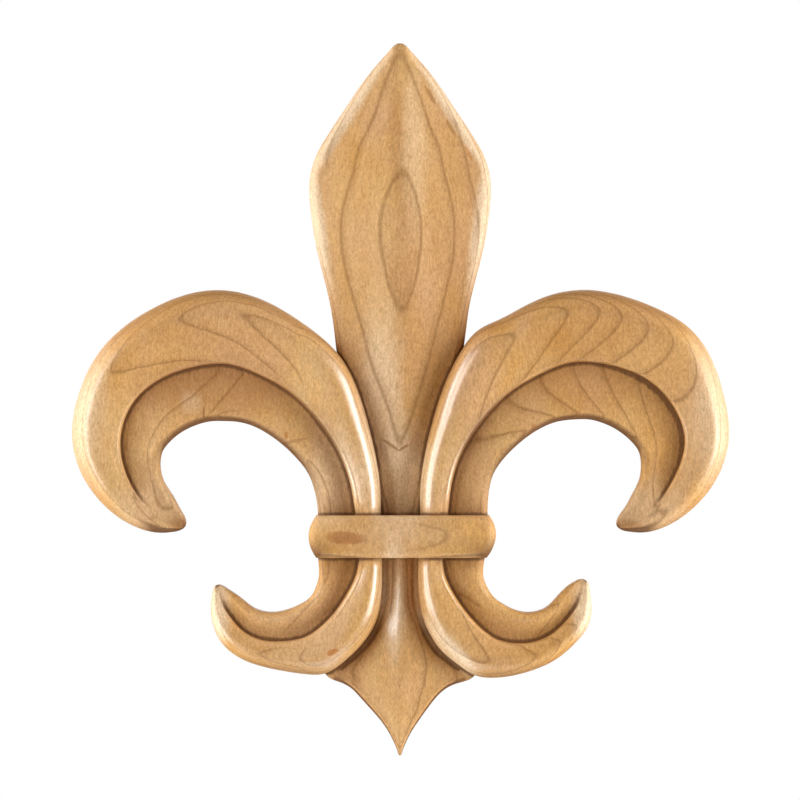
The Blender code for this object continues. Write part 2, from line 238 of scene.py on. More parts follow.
lowerLeaf = (
    (-4.6, -36.1, -20.8, -36.1, 0.35, 15.8, 2.9),
    (-4.5, -43.1, -20.2, -42.6, 0.39, 15.8, 2.9),
    (-4.8, -50.1, -20.5, -45.4, 0.50, 15.7, 2.9),
    (-7.3, -58.1, -22.2, -49.1, 0.58, 15.5, 2.9),
    (-14.1, -65.6, -25.2, -51.3, 0.57, 15.2, 2.8),
    (-18.8, -68.5, -27.2, -52.2, 0.56, 15.0, 2.8),
    (-24.0, -68.6, -29.6, -52.9, 0.53, 14.8, 2.8),
    (-32.5, -67.2, -33.2, -53.1, 0.48, 14.3, 2.7),
    (-40.0, -64.6, -36.5, -52.1, 0.48, 13.6, 2.3),
    (-45.5, -59.4, -39.2, -50.1, 0.51, 12.8, 1.6),
    (-47.3, -52.6, -41.5, -48.4, 0.48, 11.8, 0.5),
    (-46.8, -48.1, -43.8, -46.9, 0.50, 10.8, 0.0),
)
leafSizes = {  # what a user would change on a leaf's cross section, in millimetres
    "Crest Inset": 5.6,
    "Outer Drop": 6.6,
    "Narrow Drop": 0.8,
    "Arris Radius": 1.1,
    "Step Lean": 0.3,
    "Narrow Width": 10.0,
    "Full Step": 2.7,
    "Cove Rise": 2.0,
    "Rim Radius": 1.9,
}
leafShares = {  # the plain numbers of the same section
    "Crest Share": 0.50,
    "Facet Slope": 0.19,
    "Facet Curve": 1.4,
    "Arris Of Roll": 0.25,
    "Arris Of Step": 0.50,
    "Cove Curve": 1.9,
    "Rim Of Cove": 0.30,
}
leafCuts = {  # how finely a leaf is cut: sections along it, then columns over each part of its section
    "upperSections": 210,
    "lowerSections": 120,
    "round": 16,
    "facet": 12,
    "arris": 7,
    "cove": 16,
    "rim": 7,
}
leafTip = {"reach": 2.8, "drop": 2.0, "turn": math.radians(80.0), "steps": 9}
sewing = {"sweep": 0.002, "caps": 0.001}  # points nearer than this become one
overrun = {"band": 2.4, "blade": 1.9, "tongue": 1.5, "upperLeaf": 1.0, "lowerLeaf": 0.7}


def smoothRows(rows, distance, count):
    # Rows read at even distances from a natural cubic spline through the stations.
    knots = np.asarray(rows, dtype=float)
    gaps = np.diff(distance)
    size = len(distance)
    system = np.eye(size)
    target = np.zeros_like(knots)
    for i in range(1, size - 1):
        system[i, i - 1:i + 2] = gaps[i - 1], 2.0 * (gaps[i - 1] + gaps[i]), gaps[i]
        target[i] = 6.0 * ((knots[i + 1] - knots[i]) / gaps[i] - (knots[i] - knots[i - 1]) / gaps[i - 1])
    bend = np.linalg.solve(system, target)
    places = np.linspace(distance[0], distance[-1], count)
    index = np.clip(np.searchsorted(distance, places) - 1, 0, size - 2)
    gap = gaps[index][:, None]
    ahead = (distance[index + 1] - places)[:, None]
    behind = (places - distance[index])[:, None]
    return (
        bend[index] * ahead**3 / (6.0 * gap)
        + bend[index + 1] * behind**3 / (6.0 * gap)
        + (knots[index] / gap - bend[index] * gap / 6.0) * ahead
        + (knots[index + 1] / gap - bend[index + 1] * gap / 6.0) * behind
    )


def runLength(points):
    steps = np.linalg.norm(np.diff(points, axis=0), axis=1)
    return np.concatenate([[0.0], np.cumsum(steps)])


def tipCorner(outer, rim):
    # Where the two edges of a leaf would meet beyond its last section.
    ahead = [(side[-1] - side[-2]) / np.linalg.norm(side[-1] - side[-2]) for side in (outer, rim)]
    reach = np.linalg.solve(np.column_stack([ahead[0], -ahead[1]]), rim[-1] - outer[-1])
    meeting = outer[-1] + ahead[0] * reach[0]
    middle = (outer[-1] + rim[-1]) / 2.0
    away = meeting - middle
    return middle + away * min(1.0, leafTip["reach"] / np.linalg.norm(away))


def roundTip(start, corner, end, share):
    return start * (1.0 - share) ** 2 + corner * 2.0 * share * (1.0 - share) + end * share**2


def leafRails(stations, count):
    # Rails of one left leaf: a row of points with the outer edge, rim and section of each place.
    table = np.asarray(stations, dtype=float)
    rows = smoothRows(table, runLength((table[:, 0:2] + table[:, 2:4]) / 2.0), count)
    outer, rim = rows[:, 0:2], rows[:, 2:4]
    width = np.linalg.norm(rim - outer, axis=1)
    lower = np.zeros(len(rows))
    corner = tipCorner(outer, rim)
    ends = [outer[-1].copy(), rim[-1].copy()]
    for i in range(1, leafTip["steps"] + 1):  # the tip closes round its last section
        turn = leafTip["turn"] * i / leafTip["steps"]
        along = 0.5 * math.sin(turn)
        outer = np.vstack([outer, roundTip(ends[0], corner, ends[1], along)])
        rim = np.vstack([rim, roundTip(ends[1], corner, ends[0], along)])
        width = np.append(width, width[count - 1])
        lower = np.append(lower, leafTip["drop"] * (1.0 - math.cos(turn)))
    last = np.minimum(np.arange(len(outer)), count - 1)
    return {"outer": outer, "rim": rim, "width": width, "lower": lower, "share": rows[last, 4],
            "crest": rows[last, 5], "step": np.maximum(rows[last, 6], 0.0)}


def railObject(name, rails):
    # The rails as loose points whose attributes the sweep reads, in metres.
    mesh = bpy.data.meshes.new(name)
    count = len(rails["width"])
    mesh.from_pydata([(x * mm, 0.0, z * mm) for x, z in rails["outer"]], [], [])
    for key in ("outer", "rim"):
        flat = np.column_stack([rails[key][:, 0], np.zeros(count), rails[key][:, 1]]) * mm
        mesh.attributes.new(key, "FLOAT_VECTOR", "POINT").data.foreach_set("vector", flat.ravel())
    for key, unit in (("width", mm), ("lower", mm), ("crest", mm), ("step", mm), ("share", 1.0)):
        storeValue(mesh, key, rails[key] * unit)
    return addObject(name, mesh)


def leafProfile(g, column, rail, size):
    # Distance from the outer edge and height of each column of the section.
    width, crest, step = rail["width"], rail["crest"], rail["step"]
    least = lambda a, b: g.maths("MINIMUM", a, b)
    roll = rail["share"] * width
    inset = least(size["Crest Inset"], size["Crest Share"] * roll)
    fall = size["Facet Slope"] * (roll - inset)
    radius = least(size["Arris Radius"], size["Arris Of Roll"] * roll)
    soften = least(radius, size["Arris Of Step"] * step)
    arris = crest - fall
    cove = arris - step
    coveTop = cove + size["Cove Rise"] * least(1.0, step / size["Full Step"])
    rimRadius = least(size["Rim Radius"], size["Rim Of Cove"] * (width - roll))
    narrowDrop = inset * size["Outer Drop"] / size["Crest Inset"] + size["Narrow Drop"]
    drop = least(size["Outer Drop"], narrowDrop)
    start = roll + size["Step Lean"] * least(1.0, width / size["Narrow Width"])
    quarterTurn = math.pi / 2.0
    sine = lambda v: g.maths("SINE", v * quarterTurn)
    cosine = lambda v: g.maths("COSINE", v * quarterTurn)
    rimEdge = coveTop - rimRadius
    parts = (  # each: how many columns, then distance and height for a share v of that part
        (leafCuts["round"],
         lambda v: (inset - inset * cosine(v),
                    crest - drop + drop * sine(v))),
        (leafCuts["facet"],
         lambda v: (inset + v * (roll - radius - inset),
                    crest - fall * v ** size["Facet Curve"])),
        (leafCuts["arris"],
         lambda v: (roll - radius + radius * sine(v),
                    arris - soften + soften * cosine(v))),
        (1,
         lambda v: (roll + v * (start - roll),
                    arris - soften + v * (cove - arris + soften))),
        (leafCuts["cove"],
         lambda v: (start + v * (width - rimRadius - start),
                    cove + (coveTop - cove) * v ** size["Cove Curve"])),
        (leafCuts["rim"],
         lambda v: (width - rimRadius + rimRadius * sine(v),
                    rimEdge + rimRadius * cosine(v))),
        (1,
         lambda v: (width + 0.0,
                    rimEdge - v * (rimEdge + size["Back Overrun"]))),
        (1,
         lambda v: (width * (1.0 - v),
                    -size["Back Overrun"])),
    )
    first = 1.0  # column 0 is the back corner under the outer edge
    across, height = None, None
    for count, rule in parts:
        s, h = rule(g.clamp((column - first) / count))
        if across is None:
            here = column > 0.5
            across, height = s * here, h * here - size["Back Overrun"] * (1.0 - here)
        else:
            past = column > first + 0.5
            across, height = across + (s - across) * past, height + (h - height) * past
        first += count
    return across, height


def leafTree():
    # Sweeps the leaf section along its rails.
    g, entry, size = beginTree("leafSweep", [*leafSizes, *leafShares, "Back Overrun"])
    rails = Value(g, entry.outputs["Geometry"])
    curved = sum(leafCuts[part] for part in ("round", "facet", "arris", "cove", "rim"))
    columns = curved + 5  # the back corner, three straight parts and the last point too
    rows = g.node("GeometryNodeAttributeDomainSize", {}, {0: rails})
    grid = g.node("GeometryNodeMeshGrid", {}, {"Vertices X": rows, "Vertices Y": columns})
    index = g.node("GeometryNodeInputIndex")
    row = g.maths("FLOOR", (index + 0.5) / columns)
    column = index - row * columns

    def railValue(name, kind):
        value = g.node("GeometryNodeInputNamedAttribute", {"data_type": kind}, {"Name": name})
        return g.node("GeometryNodeSampleIndex", {"data_type": kind, "domain": "POINT"},
                      {"Geometry": rails, "Value": value, "Index": row})

    rail = {name: railValue(name, "FLOAT") for name in ("width", "lower", "share", "crest", "step")}
    outer, rim = railValue("outer", "FLOAT_VECTOR"), railValue("rim", "FLOAT_VECTOR")
    across, height = leafProfile(g, column, rail, size)
    raised = height > 0.0
    plan = g.vectors("ADD", outer, g.scaled(g.vectors("SUBTRACT", rim, outer), across / rail["width"]))
    lift = g.combine(0.0, rail["lower"] * raised - height, 0.0)
    position = g.vectors("ADD", plan, lift)
    swept = g.node("GeometryNodeSetPosition", {}, {"Geometry": grid, "Position": position})
    within = sewing["sweep"] * mm
    sewn = g.node("GeometryNodeMergeByDistance", {}, {"Geometry": swept, "Distance": within})
    return endTree(g, sewn, entry)


def closeAndOrient(mesh, flip=False):
    # Caps the open ends of a sweep and turns its faces outwards; flip mirrors it to the right.
    body = bmesh.new()
    body.from_mesh(mesh)
    bmesh.ops.remove_doubles(body, verts=body.verts, dist=sewing["caps"] * mm)
    bmesh.ops.holes_fill(body, edges=[e for e in body.edges if e.is_boundary], sides=0)
    if flip:
        for vert in body.verts:
            vert.co.x = -vert.co.x
    bmesh.ops.recalc_face_normals(body, faces=body.faces)
    body.to_mesh(mesh)
    body.free()


def makeLeaves(wood):
    tree = leafTree()
    made = []
    for name, stations, count in (("upperLeaf", upperLeaf, leafCuts["upperSections"]),
                                  ("lowerLeaf", lowerLeaf, leafCuts["lowerSections"])):
        left = railObject(name + "Left", leafRails(stations, count))
        values = {key: size * mm for key, size in leafSizes.items()}
        values.update(leafShares)
        values["Back Overrun"] = overrun[name] * mm
        values["Wood"] = wood
        runTree(left, tree, values)
        right = addObject(name + "Right", left.data.copy())
        closeAndOrient(left.data)
        closeAndOrient(right.data, flip=True)
        made += [left, right]
    return made


# The blade, tongue and band, lofted through their sections

bladeStations = (  # z, half width, ridge height, ridge softness
    (-34.0, 7.0, 9.9, 0.8),
    (-28.9, 7.2, 10.1, 0.8),
    (-10.1, 9.2, 11.4, 1.0),
    (-0.1, 11.6, 12.1, 1.3),
    (4.9, 13.6, 12.5, 1.5),
    (9.9, 15.4, 12.9, 1.7),
    (14.9, 16.2, 13.2, 1.9),
    (24.9, 17.7, 13.9, 2.1),
    (34.9, 20.2, 14.5, 2.3),
    (44.9, 22.1, 14.6, 2.4),
    (51.1, 22.7, 14.3, 2.4),
    (57.4, 22.2, 13.8, 2.4),
    (62.4, 20.3, 13.5, 2.4),
    (67.4, 17.3, 13.0, 2.3),
    (74.9, 12.3, 12.4, 2.1),
    (82.4, 6.9, 11.8, 1.8),
    (87.4, 2.4, 11.4, 1.4),
)
blade = {
    "slope": 0.24,
    "edge": 2.8,  # radius of the rounded edges, or a share of the half width where that is less
    "edgeShare": 0.60,
    "sections": 170,
    "flank": 20,
    "round": 14,
    "tipReach": 1.7,
}
tongueStations = (  # z, ridge height, flank x and drop, valley x and height, half width
    (-35.5, 10.3, 2.7, 1.4, 3.4, 8.5, 6.5),
    (-41.4, 10.4, 2.7, 1.4, 3.4, 8.5, 6.5),
    (-50.1, 10.7, 2.8, 1.5, 3.5, 8.5, 6.8),
    (-56.4, 10.9, 3.7, 1.5, 5.2, 8.4, 8.6),
    (-61.4, 11.0, 5.2, 1.4, 8.2, 8.2, 12.2),
    (-65.1, 11.0, 8.3, 2.0, 12.2, 7.7, 16.0),
    (-68.1, 10.9, 11.7, 2.6, 15.6, 7.2, 18.9),
    (-69.5, 10.8, 13.4, 3.0, 16.3, 7.0, 17.8),
    (-70.6, 10.8, 13.1, 2.9, 14.5, 6.9, 15.3),
    (-72.1, 10.6, 10.9, 2.3, 12.0, 7.0, 12.4),
    (-75.1, 10.3, 8.2, 1.6, 9.1, 7.4, 9.4),
    (-80.1, 9.8, 4.1, 0.9, 4.8, 7.5, 5.0),
    (-85.1, 9.2, 1.4, 0.5, 1.7, 7.6, 1.8),
    (-87.6, 8.8, 0.5, 0.3, 0.6, 7.6, 0.7),
)
tongue = {
    "softness": 0.5,  # roundness of the ridge, or a share of the flank where that is less
    "softShare": 0.30,
    "valleyEdge": 0.3,
    "sections": 170,
    "flank": 14,
    "floor": 5,
    "tipReach": 1.5,
}
band = {
    "top": -28.9,
    "bottom": -39.5,
    "half": 20.9,
    "bulge": 1.9,
    "crown": 19.0,
    "fall": 0.9,
    "edge": 1.2,
    "endRadius": 2.6,
    "sections": 22,
    "round": 10,
    "across": 40,
}
tip = {"steps": 7, "turn": math.radians(74.0), "drop": 2.0}


def quarter(centre, radius, steps):
    # A quarter circle from the side of a section up to its top.
    turns = np.linspace(math.pi, math.pi / 2.0, steps + 1)
    return [(centre[0] + radius * math.cos(t), centre[1] + radius * math.sin(t)) for t in turns]


def wholeSection(half, z):
    # A half section from its edge to the axis, carried on to the other side, at the place z.
    whole = np.array(half + [(-x, height) for x, height in reversed(half[:-1])])
    return np.column_stack([whole[:, 0], -whole[:, 1], np.full(len(whole), z)])


def pointedTip(sections, reach):
    # Closes a loft with sections that narrow round a blunt point.
    last = sections[-1]
    ahead = math.copysign(reach, last[0, 2] - sections[-2][0, 2])
    for i in range(1, tip["steps"] + 1):
        turn = tip["turn"] * i / tip["steps"]
        section = last.copy()
        section[:, 0] *= math.cos(turn)
        section[:, 2] += ahead * math.sin(turn) ** 2
        section[1:-1, 1] += tip["drop"] * (1.0 - math.cos(turn))
        sections.append(section)
    return sections


def bladeSections():
    sections = []
    table = np.asarray(bladeStations)
    for z, half, ridge, soft in smoothRows(table, table[:, 0], blade["sections"]):
        edge = min(blade["edge"], blade["edgeShare"] * half)
        inner = half - edge
        gable = lambda x: ridge - blade["slope"] * (math.hypot(x, soft) - soft)
        points = [(-half, -overrun["blade"])]
        points += quarter((-inner, gable(inner) - edge), edge, blade["round"])
        for i in range(1, blade["flank"] + 1):
            x = inner * (1.0 - i / blade["flank"])
            points.append((-x, gable(x)))
        sections.append(wholeSection(points, z))
    return pointedTip(sections, blade["tipReach"])


def tongueSections():
    sections = []
    table = np.asarray(tongueStations)
    distance = runLength(table[:, [0, -1]])
    for z, ridge, flank, drop, valley, floor, half in smoothRows(table, distance, tongue["sections"]):
        points = [(-half, -overrun["tongue"]), (-half, floor - tongue["valleyEdge"])]
        shoulder = ridge - drop
        corners = (
            (-(half + valley) / 2.0, floor),
            (-valley, floor),
            (-(flank + valley) / 2.0, (shoulder + floor) / 2.0),
            (-flank, shoulder),
        )
        points.append(corners[0])
        for first, second in zip(corners, corners[1:]):
            for i in range(1, tongue["floor"] + 1):
                v = i / tongue["floor"]
                points.append((first[0] + v * (second[0] - first[0]),
                               first[1] + v * (second[1] - first[1])))
        soft = min(tongue["softness"], tongue["softShare"] * flank)
        for i in range(1, tongue["flank"] + 1):
            x = flank * (1.0 - i / tongue["flank"])
            share = (math.hypot(x, soft) - soft) / (math.hypot(flank, soft) - soft)
            points.append((-x, ridge - drop * share))
        sections.append(wholeSection(points, z))
    return pointedTip(sections, tongue["tipReach"])


def bandSections():
    middle = (band["top"] + band["bottom"]) / 2.0
    reach = (band["top"] - band["bottom"]) / 2.0
    edge = band["edge"]
    turns = np.linspace(0.0, math.pi / 2.0, band["round"])
    places = [(reach - edge * (1.0 - math.sin(t)), edge * (1.0 - math.cos(t))) for t in turns]
    core = [(z, 0.0) for z in np.linspace(reach - edge, edge - reach, band["sections"])[1:-1]]
    sections = []
    for z, fall in places[::-1] + core + [(-z, fall) for z, fall in places]:
        part = z / reach
        half = band["half"] + band["bulge"] * (1.0 - part * part)
        top = band["crown"] - band["fall"] * part * part - fall
        radius = band["endRadius"]
        points = [(-half, -overrun["band"])]
        points += quarter((radius - half, top - radius), radius, band["round"])
        for x in np.linspace(radius - half, 0.0, band["across"] // 2 + 1)[1:]:
            points.append((x, top))
        sections.append(wholeSection(points, middle + z))
    return sections


def loft(name, sections, wood):
    # A closed form over its sections.
    mesh = bpy.data.meshes.new(name)
    body = bmesh.new()
    loops = [[body.verts.new(point * mm) for point in section] for section in sections]
    size = len(loops[0])
    for first, second in zip(loops, loops[1:]):
        for i in range(size):
            j = (i + 1) % size
            body.faces.new((first[i], first[j], second[j], second[i]))
    body.faces.new(loops[0])
    body.faces.new(list(reversed(loops[-1])))
    bmesh.ops.recalc_face_normals(body, faces=body.faces)
    body.to_mesh(mesh)
    body.free()
    mesh.materials.append(wood)
    return addObject(name, mesh)


# One carving from all the forms

handCuts = (  # where the right side was cut a little off the left: centre x and z, reach, shift x and z
    (72.0, 16.5, 15.0, 1.3, 1.4),
    (48.0, 2.0, 14.0, 0.0, 0.6),
    (70.5, -10.0, 9.0, 1.2, 0.0),
    (19.5, -30.0, 11.0, 1.4, 0.0),
    (18.0, 15.0, 7.0, 0.3, 2.2),
    (57.0, -26.0, 7.0, 1.3, 0.2),
    (45.0, -47.5, 6.0, 0.6, 1.1),
    (41.0, -46.5, 4.5, -0.4, 0.8),
    (48.0, -56.0, 5.0, 0.6, 0.0),
    (43.5, -61.5, 6.0, -0.4, 0.5),
    (23.0, -49.5, 6.0, 0.8, 0.2),
    (27.0, -68.0, 9.0, 0.0, -1.0),
    (10.5, -74.5, 6.0, -0.9, 0.0),
    (11.5, -62.6, 4.5, -0.7, 0.0),
)
axisBlend = 3.0  # the hand cuts fade out over this much beside the axis
ridgeShift = {"along": 0.6, "reach": 4.5, "low": -12.0, "full": 4.0, "fades": 70.0, "high": 84.0}
backCut = {"reach": 120.0, "depth": 12.0}


def joinForms(carving, others):
    cutter = addObject("backCut", bpy.data.meshes.new("backCut"))
    body = bmesh.new()
    bmesh.ops.create_cube(body, size=1.0)
    for vert in body.verts:
        vert.co.x *= 2.0 * backCut["reach"] * mm
        vert.co.y = (vert.co.y + 0.5) * backCut["depth"] * mm
        vert.co.z *= 2.0 * backCut["reach"] * mm
    body.to_mesh(cutter.data)
    body.free()
    for other in others + [cutter]:
        join = carving.modifiers.new(other.name, "BOOLEAN")
        join.operation = "DIFFERENCE" if other is cutter else "UNION"
        join.solver = "EXACT"
        join.object = other
    keepEvaluated(carving)
    for other in others + [cutter]:
        bpy.data.objects.remove(other)


def cutByHand(points):
    shift = np.zeros_like(points)
    for x, z, reach, along, up in handCuts:
        weight = np.exp(-((np.hypot(points[:, 0] - x, points[:, 2] - z) / reach) ** 2))
        shift[:, 0] += weight * along
        shift[:, 2] += weight * up
    shift *= np.clip(points[:, 0:1] / axisBlend, 0.0, 1.0)
    on = ridgeShift  # the blade's ridge runs a little right of its middle
    places = [on["low"], on["full"], on["fades"], on["high"]]
    share = np.interp(points[:, 2], places, [0.0, 1.0, 1.0, 0.0])
    shift[:, 0] += on["along"] * share * np.exp(-((points[:, 0] / on["reach"]) ** 2))
    return points + shift


# Where glaze and painted shade gather, and where crests are painted lighter

relief = {
    "cell": 0.5,  # of the height map, which goes past the piece by the margin
    "margin": 6.0,
    "wide": 3.5,  # reach of the two brushes that smooth the height map
    "fine": 1.0,
    "leastWood": 0.02,
    "creaseAngle": 24.0,  # degrees; an inside corner sharper than this, above this height, is a crease
    "creaseHeight": 1.0,
    "creaseReach": 6.0,
    "shallow": 0.05,  # depths below the wood around at which a crease starts to count and counts in full
    "deep": 0.45,
}
curlMiddle = {"across": 39.0, "height": -22.0}
rimShade = {"starts": -0.05, "full": 0.5, "reach": 28.0, "soft": 3.0}  # under the rims of the curls


def heightMap(mesh):
    # Height of the carving over a grid of x and z, 0 beside it.
    tree = BVHTree.FromPolygons([v.co[:] for v in mesh.vertices], [p.vertices[:] for p in mesh.polygons])
    low, high = cadBox
    xs = np.arange(low.x / mm - relief["margin"], high.x / mm + relief["margin"], relief["cell"])
    zs = np.arange(low.z / mm - relief["margin"], high.z / mm + relief["margin"], relief["cell"])
    start = low.y - relief["margin"] * mm
    ahead = Vector((0.0, 1.0, 0.0))
    heights = np.zeros((len(zs), len(xs)))
    for row, z in enumerate(zs):
        for column, x in enumerate(xs):
            hit = tree.ray_cast(Vector((x * mm, start, z * mm)), ahead)[0]
            if hit:
                heights[row, column] = -hit.y / mm
    return xs, zs, heights


def boxBlur(values, reach):
    span = 2 * reach + 1
    for _ in range(3):  # three passes of a box come close to a soft round brush
        for axis in (0, 1):
            edges = [(reach + 1, reach) if a == axis else (0, 0) for a in (0, 1)]
            padded = np.pad(values, edges, mode="edge")
            total = np.moveaxis(np.cumsum(padded, axis=axis), axis, 0)
            values = np.moveaxis((total[span:] - total[:-span]) / span, 0, axis)
    return values


def blurred(heights, radius):
    # Mean height of the wood around each place; the air beside it doesn't count.
    reach = max(1, int(round(radius / relief["cell"])))
    wood = (heights > 0.0).astype(float)
    return boxBlur(heights, reach) / np.maximum(boxBlur(wood, reach), relief["leastWood"])


def readMap(xs, zs, values, points):
    column = np.clip((points[:, 0] - xs[0]) / relief["cell"], 0, len(xs) - 1.001)
    row = np.clip((points[:, 2] - zs[0]) / relief["cell"], 0, len(zs) - 1.001)
    i, j = column.astype(int), row.astype(int)
    u, v = column - i, row - j
    return ((values[j, i] * (1 - u) + values[j, i + 1] * u) * (1 - v)
            + (values[j + 1, i] * (1 - u) + values[j + 1, i + 1] * u) * v)


def creaseMarks(mesh, points, depthAt):
    # How far each point lies from the nearest inside corner, and how deep that corner is, 0 to 1.
    body = bmesh.new()
    body.from_mesh(mesh)
    limit = math.radians(relief["creaseAngle"])
    marks = []
    for edge in body.edges:
        if len(edge.link_faces) != 2 or edge.calc_face_angle_signed(0.0) > -limit:
            continue
        ends = [vert.co / mm for vert in edge.verts]
        if max(ends[0].y, ends[1].y) > -relief["creaseHeight"]:
            continue
        marks += [ends[0], (ends[0] + ends[1]) / 2.0]
    body.free()
    tree = KDTree(len(marks))
    for i, mark in enumerate(marks):
        tree.insert(mark, i)
    tree.balance()
    below = depthAt(np.array(marks)) - relief["shallow"]
    depth = np.clip(below / (relief["deep"] - relief["shallow"]), 0.0, 1.0)
    found = [tree.find(point) for point in points]
    near = np.array([min(hit[2], relief["creaseReach"]) for hit in found])
    return near, depth[[hit[1] for hit in found]]


def shadeUnderRim(mesh, points):
    # Painted shade on the lower side of the rims over the two curls, 0 to 1.
    normals = np.empty(len(mesh.vertices) * 3, dtype=np.float32)
    mesh.vertices.foreach_get("normal", normals)
    turned = (-normals[2::3] - rimShade["starts"]) / (rimShade["full"] - rimShade["starts"])
    turned = np.clip(turned, 0.0, 1.0)
    away = np.hypot(np.abs(points[:, 0]) - curlMiddle["across"], points[:, 2] - curlMiddle["height"])
    return turned * np.clip((rimShade["reach"] - away) / rimShade["soft"], 0.0, 1.0)


def markRelief(mesh):
    # hollow and notch: how far a point lies below the wood around, over a wide and a fine reach.
    points = readPoints(mesh)
    xs, zs, heights = heightMap(mesh)
    wide, fine = (blurred(heights, relief[size]) for size in ("wide", "fine"))
    depthAt = lambda places: readMap(xs, zs, fine, places) + places[:, 1]
    near, depth = creaseMarks(mesh, points, depthAt)
    storeValue(mesh, "hollow", readMap(xs, zs, wide, points) + points[:, 1])
    storeValue(mesh, "notch", depthAt(points))
    storeValue(mesh, "crease", near)
    storeValue(mesh, "creaseDepth", depth)
    storeValue(mesh, "under", shadeUnderRim(mesh, points))


# The hand finish: soft waves of the gouge and sandpaper over the front

finishSizes = {"Wave Length": 11.0, "Wave Depth": 0.16, "Ripple Length": 2.6, "Ripple Depth": 0.05}
finishSeed = 0.37
frontHeights = {"finish": (1.0, 4.0), "colour": (0.3, 1.5)}  # where the plain back turns into the front
sharpFrom = 38.0  # degrees between faces that meet in a sharp edge


def finishTree():
    g, entry, size = beginTree("handFinish", [*finishSizes, "Seed"])
    place = g.node("GeometryNodeInputPosition")
    away = g.split(place)[1]
    seeded = g.vectors("ADD", place, g.combine(size["Seed"], 0.0, 0.0))
    wave = g.noise(seeded, 1.0 / size["Wave Length"], detail=1.0)
    ripple = g.noise(seeded, 1.0 / size["Ripple Length"], detail=0.0)
    front = g.smooth(-away, *(height * mm for height in frontHeights["finish"]))
    depth = (wave * size["Wave Depth"] + ripple * size["Ripple Depth"]) * front
    offset = g.scaled(g.node("GeometryNodeInputNormal"), depth)
    carved = Value(g, entry.outputs["Geometry"])
    worked = g.node("GeometryNodeSetPosition", {}, {"Geometry": carved, "Offset": offset})
    return endTree(g, worked, entry)


# The wood

woodColours = {
    "pale": colour(219, 178, 118),
    "honey": colour(205, 153, 79),
    "rosy": colour(212, 167, 117),
    "ring": colour(138, 92, 36),
    # glaze and painted shade: the glaze held in the creases and hollows, made darker where they lie in
    # shadow
    "glazeAndShade": colour(128, 74, 20),
    # painted shade in the deepest creases and under the rims of the curls, with the glaze held there
    "seamShade": colour(100, 60, 22),
    # painted highlight on edges and facets that face the lamps, and wear on the crests
    "litAndRubbed": colour(238, 212, 174),
    # stains, and painted shade on facets that face away from the lamps
    "umberAndShade": colour(166, 112, 56),
    "stain": colour(184, 116, 40),
}
grainPatterns = {  # size across and along the grain in millimetres, detail, roughness
    "drift": (26.0, 55.0, 1.0, 0.5),
    "wobble": (2.2, 8.0, 2.0, 0.5),
    "broad": (16.0, 34.0, 2.0, 0.5),
    "blush": (11.0, 22.0, 2.0, 0.5),
    "cloud": (3.2, 8.0, 3.0, 0.6),
    "grain": (0.55, 2.0, 2.0, 0.65),
    "fleck": (0.38, 0.7, 1.0, 0.5),
    "chatter": (0.9, 0.9, 1.0, 0.5),
}
markDepth = 1000.0  # so deep that a mark looks the same all through the board
blushShift = (31.0, 7.0, 3.0)  # keeps the blush apart from the other patterns
growthRings = {
    "bowRight": 0.0024,  # how fast the rings curve away to either side, per millimetre
    "bowLeft": 0.00075,
    # each ring line: its depth on the blade and right, then on the left leaves, where some meet
    "lines": ((-14.0, -4.5), (-9.5, -2.6), (-5.5, -0.8), (-2.0, 1.6), (1.8, 1.6), (4.0, 1.6),
              (6.0, 8.85), (8.0, 8.85), (9.5, 11.1), (11.35, 13.15), (13.7, 14.4), (18.55, 18.55)),
    "leftLeaves": (-22.0, -26.0),  # x over which the first depth turns into the second
    "footLevel": 9.5,  # the foot shows one ring only, wider on its left
    "footFrom": 8.79,
    "footTilt": -0.06,
    "footSpread": 0.55,
    "footSlope": 0.8,  # the foot lies between slanting sides, below the rolls
    "footSides": (-39.0, -41.0),
    "footTop": (-50.0, -56.0),
    "bandHeight": (16.0, 17.0),  # the band stands above this, and shows one line on its right
    "bandShows": (0.0, 10.0),
    "bandShare": 0.8,
    "bandNarrow": 0.5,
    "lineRight": 0.10,
    "lineLeft": 0.055,
    "sharpTo": 2.5,  # how far a line is sharp and how far it fades out, in its own widths
    "fade": 6.0,
    "fadeShade": 0.30,
    "clearEdge": (1.05, 0.85),
    "strength": 0.54,
    "drift": 0.35,  # how far the rings wander, in millimetres
    "wobble": 0.14,
    "seasonSize": 0.6,
}
toneShares = {  # how much honey and rosy wood there is, and how each pattern shifts it
    "honey": 0.45,
    "honeyByBroad": 2.0,
    "honeyBySeason": 0.8,
    "honeyByCloud": 0.8,
    "rosy": 0.3,
    "rosyByBlush": 2.5,
    "patchRagged": 0.6,  # how ragged and soft the edges of patches and spots are
    "patchSoft": 0.6,
    "spotByCloud": 0.35,
    "spotByGrain": 0.3,
    "spotSoft": 0.22,
    "speckByGrain": 0.8,
    "speckByFleck": 0.7,
    "speckLift": 0.02,
    "speckColours": (0.8, 1.0, 1.3),  # dark specks are warmer than the wood round them
}
glazingAndShading = {
    "byCloud": 0.7,  # how ragged the glaze and painted shade and the polish are
    "byGrain": 0.5,
    "creaseEdge": (0.9, 0.1),  # millimetres from a crease where glaze and painted shade begin and where they are full
    "creaseRagged": 0.6,
    "creaseShare": 0.38,
    "hollowEdge": (-0.4, 1.5),  # millimetres below the wood around, less than 0 above it
    "hollowShare": 0.30,
    "most": 0.40,
    "seamShadeEdge": (1.05, 0.35),
    "seamShadeRagged": 0.8,
    "seamShadeShare": 0.75,
    "curlAcross": (46.0, 62.0),  # the seam of painted shade lies widest in the right curl
    "curlHeight": (-22.0, -8.0),
    "curlSpread": 0.6,
    "wipedEdge": (0.6, 1.1),
    "wipedSeamShade": 0.35,
    "underShadeShare": 0.85,
    "litAndRubbedEdge": (-0.3, -1.0),
    "litAndRubbedShare": 0.08,
}
